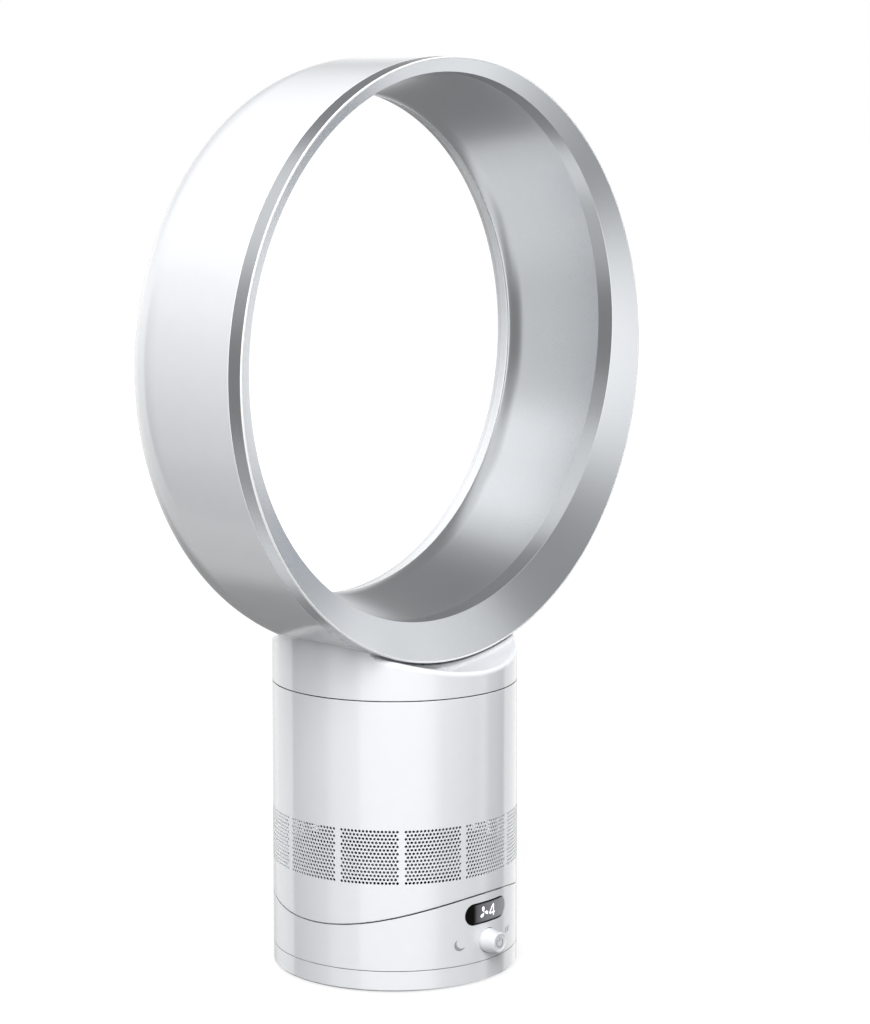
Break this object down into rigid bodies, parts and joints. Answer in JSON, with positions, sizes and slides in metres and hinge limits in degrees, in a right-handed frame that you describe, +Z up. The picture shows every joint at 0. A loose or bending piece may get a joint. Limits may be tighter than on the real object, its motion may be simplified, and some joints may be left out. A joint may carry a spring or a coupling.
{
  "type": "bladeless fan",
  "caption": "Bladeless desk fan: a ring that blows air from a slot, on a round body that tilts, a base with display and button that swivels, and a flat foot.",
  "frame": {"origin": "on the table, under the axis of the round body, at the middle of the rubber ring", "axes": "+Z up along the axis of the body, -Y towards the front, where the display and the button are and where the air leaves the loop, +X to the right of someone facing the same way as +Y"},
  "size_m": [0.358, 0.1596, 0.5515],
  "materials": {
    "white_plastic": "gloss",
    "silver_trim": "satin metallic",
    "dark_window": "gloss",
    "grey_plastic": "matt",
    "nylon": "matt",
    "impeller_plastic": "matt",
    "black_plastic": "matt",
    "rubber": "matt",
    "foam": "open cell",
    "circuit_board": "satin",
    "steel": "satin",
    "laminated_iron": "matt",
    "copper_wire": "enamelled",
    "brass": "satin"
  },
  "bodies": {
    "foot": {"foot_shell": "white_plastic", "rubber_foot_ring": "rubber", "swivel_gear": "nylon", "gear_screws": "steel", "power_inlet": "black_plastic", "inlet_pin": "brass", "swivel_washer": "nylon", "swivel_nut": "steel"},
    "control_base": {"control_housing": "white_plastic", "control_floor": "grey_plastic", "floor_screws": "steel", "tilt_runners": "nylon", "display_window": "dark_window", "display_module": "black_plastic", "control_board": "circuit_board", "button_switch": "steel", "remote_receiver": "black_plastic", "main_board": "circuit_board", "board_parts": "black_plastic", "swivel_motor": "steel"},
    "swivel_drive": {"swivel_motor_shaft": "steel", "swivel_pinion": "nylon"},
    "button": {"power_button": "white_plastic"},
    "body": {"body_shell": "white_plastic", "body_floor": "grey_plastic", "body_floor_screws": "steel", "tilt_keepers": "nylon", "keeper_screws": "steel", "silencer_foam": "foam", "impeller_shroud": "grey_plastic", "shroud_seal": "rubber", "shroud_screws": "steel", "air_straightener": "grey_plastic", "motor_bucket": "grey_plastic", "motor_bucket_cap": "grey_plastic", "motor_can": "steel", "motor_can_cover": "steel", "motor_stator": "laminated_iron", "stator_windings": "copper_wire", "lower_bearing": "steel", "upper_bearing": "steel", "bayonet_collar": "grey_plastic", "collar_seal": "rubber"},
    "rotor": {"impeller": "impeller_plastic", "impeller_nut": "brass", "motor_shaft": "steel", "motor_rotor": "laminated_iron"},
    "loop": {"outer_casing": "white_plastic", "inner_casing": "silver_trim", "front_ring": "silver_trim", "slot_spacers": "silver_trim", "loop_spigot": "grey_plastic", "spigot_screws": "steel"}
  },
  "joints": [
    {"name": "swivel", "type": "hinge", "parent": "foot", "child": "control_base", "pos_m": [0, 0, 0.0137], "axis": [0, 0, 1], "range_deg": [-35, 35]},
    {"name": "swivel_drive_spin", "type": "hinge", "parent": "control_base", "child": "swivel_drive", "pos_m": [0, 0.042, 0.0096], "axis": [0, 0, 1], "range_deg": [-176, 176]},
    {"name": "button_press", "type": "slide", "parent": "control_base", "child": "button", "axis": [0, 1, 0], "range_m": [0, 0.0015], "stiffness_N_per_m": 600, "springref_m": -0.0005},
    {"name": "tilt", "type": "hinge", "parent": "control_base", "child": "body", "pos_m": [0, 0, 0.2241], "axis": [1, 0, 0], "range_deg": [-10, 10]},
    {"name": "fan_spin", "type": "hinge", "parent": "body", "child": "rotor", "pos_m": [0, 0, 0.09], "axis": [0, 0, 1], "continuous": true},
    {"name": "loop_twist", "type": "hinge", "parent": "body", "child": "loop", "pos_m": [0, 0, 0.1771], "axis": [0, 0, 1], "range_deg": [0, 16]}
  ],
  "couplings": [
    {"joint": "swivel_drive_spin", "follows": "swivel", "ratio": 5}
  ]
}
